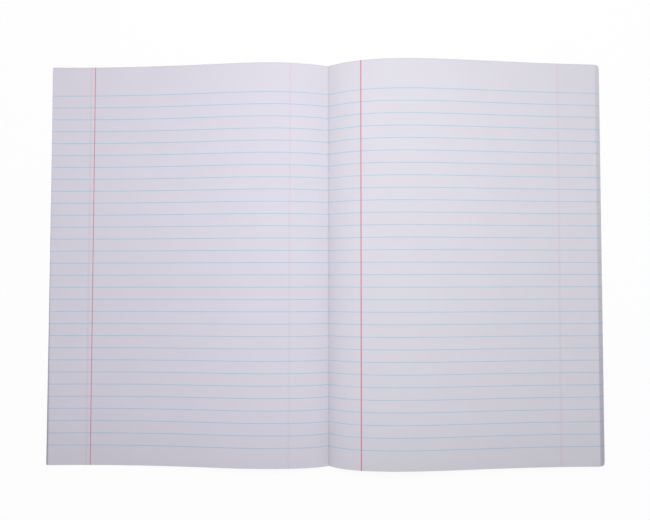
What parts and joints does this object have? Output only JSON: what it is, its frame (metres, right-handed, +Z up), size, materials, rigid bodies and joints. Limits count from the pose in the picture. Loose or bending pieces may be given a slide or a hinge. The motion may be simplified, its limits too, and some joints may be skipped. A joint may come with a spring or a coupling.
{
  "type": "open composition notebook",
  "caption": "Ruled composition notebook lying open, with sewn leaves arched over the gutter, two board covers that swing back and a cloth tape round the spine.",
  "frame": {"origin": "on the table, under the middle of the spine, half way between head and tail", "axes": "+X from the front cover to the back cover, +Y from the tail to the head, +Z up out of the open pages"},
  "size_m": [0.35, 0.25, 0.0201],
  "materials": {
    "ruled_paper": "matt, uncoated, ruled in blue with a red margin line",
    "cover_board": "matt pressed board, pale inside",
    "cloth_tape": "woven, matt",
    "sewing_thread": "twisted cotton"
  },
  "bodies": {
    "leaves": {"page_block": "ruled_paper", "spine_tape": "cloth_tape", "sewing_thread": "sewing_thread"},
    "front_cover": {"front_cover": "cover_board", "front_tape_wing": "cloth_tape"},
    "back_cover": {"back_cover": "cover_board", "back_tape_wing": "cloth_tape"}
  },
  "joints": [
    {"name": "front_cover_fold", "type": "hinge", "parent": "leaves", "child": "front_cover", "pos_m": [-0.005, 0, 0], "axis": [0, -1, 0], "range_deg": [0, 90]},
    {"name": "back_cover_fold", "type": "hinge", "parent": "leaves", "child": "back_cover", "pos_m": [0.005, 0, 0], "axis": [0, 1, 0], "range_deg": [0, 90]}
  ]
}
